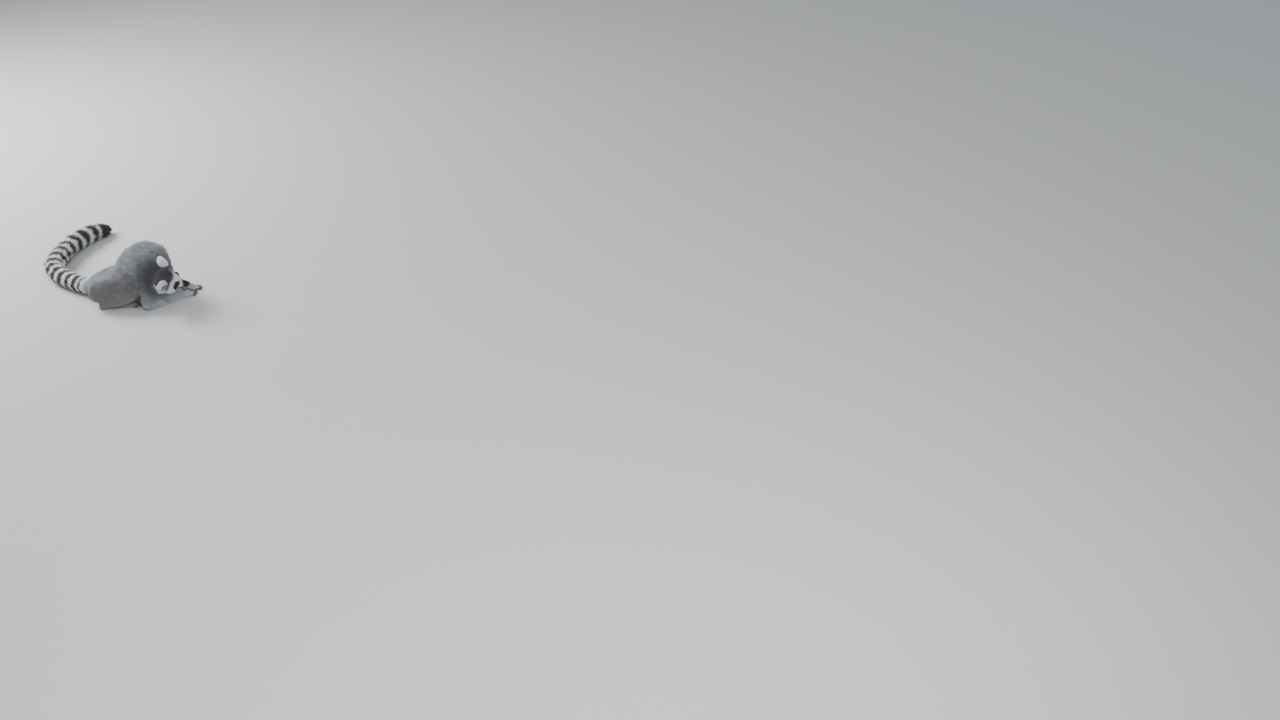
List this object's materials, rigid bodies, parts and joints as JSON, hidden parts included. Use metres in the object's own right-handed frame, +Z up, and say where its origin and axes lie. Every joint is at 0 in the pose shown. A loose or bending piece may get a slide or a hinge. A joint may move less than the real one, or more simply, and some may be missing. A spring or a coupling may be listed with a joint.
{
  "type": "ring-tailed lemur",
  "caption": "Life-size still model of a crouching ring-tailed lemur with a humped back, lowered head, folded limbs and a long ringed tail laid on the ground.",
  "frame": {"origin": "middle of the foot of the box round the whole animal, on the ground", "axes": "+Z up, +X roughly the way the body faces, +Y roughly its left and the way the tail runs"},
  "size_m": [0.5388, 0.5838, 0.1801],
  "materials": {
    "coat": "short dense grey fur with a faint brown cast",
    "pale_coat": "very short pale grey to white fur",
    "ringed_coat": "bushy fur in black and white rings",
    "eye": "wet amber iris round a black pupil",
    "bare_skin": "damp black pebbled skin"
  },
  "bodies": {
    "root": {"head": "coat", "ear_left": "pale_coat", "ear_right": "pale_coat", "eye_left": "eye", "eye_right": "eye", "nose": "bare_skin", "neck": "coat", "trunk": "coat", "upper_arm_left": "coat", "upper_arm_right": "coat", "forearm_left": "coat", "forearm_right": "coat", "hand_left": "pale_coat", "hand_right": "pale_coat", "thigh_left": "coat", "thigh_right": "coat", "shank_left": "coat", "shank_right": "coat", "foot_left": "pale_coat", "foot_right": "pale_coat", "tail_1": "ringed_coat", "tail_2": "ringed_coat", "tail_3": "ringed_coat", "tail_4": "ringed_coat", "tail_5": "ringed_coat"}
  },
  "joints": []
}
